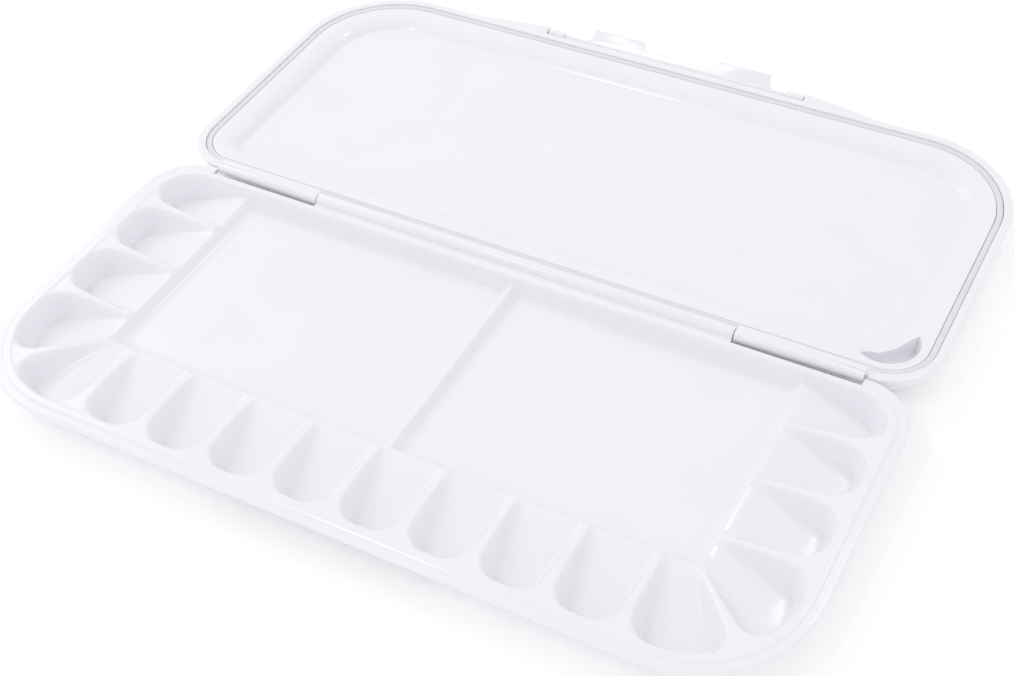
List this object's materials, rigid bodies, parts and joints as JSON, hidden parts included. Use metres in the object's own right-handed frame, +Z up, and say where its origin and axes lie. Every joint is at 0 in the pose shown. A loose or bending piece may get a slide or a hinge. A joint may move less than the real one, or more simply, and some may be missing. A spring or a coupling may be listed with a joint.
{
  "type": "folding mixing palette",
  "caption": "Open folding paint palette: a tray of wells round two mixing areas, and a lid with a seal groove, hinged by steel pins and shut by a pivoting clasp.",
  "frame": {"origin": "on the desk, under the middle of the open palette's bounding box", "axes": "+X along the hinge, +Y from the tray towards the lid, +Z up"},
  "size_m": [0.33, 0.3066, 0.0159],
  "materials": {
    "white_plastic": "smooth glossy injection-moulded plastic",
    "silicone": "satin pale silicone",
    "steel": "drawn steel rod"
  },
  "bodies": {
    "tray": {"tray": "white_plastic", "hinge_pin_left": "steel", "hinge_pin_right": "steel"},
    "lid": {"lid": "white_plastic", "gasket": "silicone", "clasp_pin_left": "steel", "clasp_pin_right": "steel"},
    "clasp": {"clasp": "white_plastic"}
  },
  "joints": [
    {"name": "lid_hinge", "type": "hinge", "parent": "tray", "child": "lid", "pos_m": [0, -0.00695, 0.0131], "axis": [1, 0, 0], "range_deg": [0, 180]},
    {"name": "clasp_pivot", "type": "hinge", "parent": "lid", "child": "clasp", "pos_m": [0, 0.14235, 0.0112], "axis": [1, 0, 0], "range_deg": [0, 136]}
  ]
}
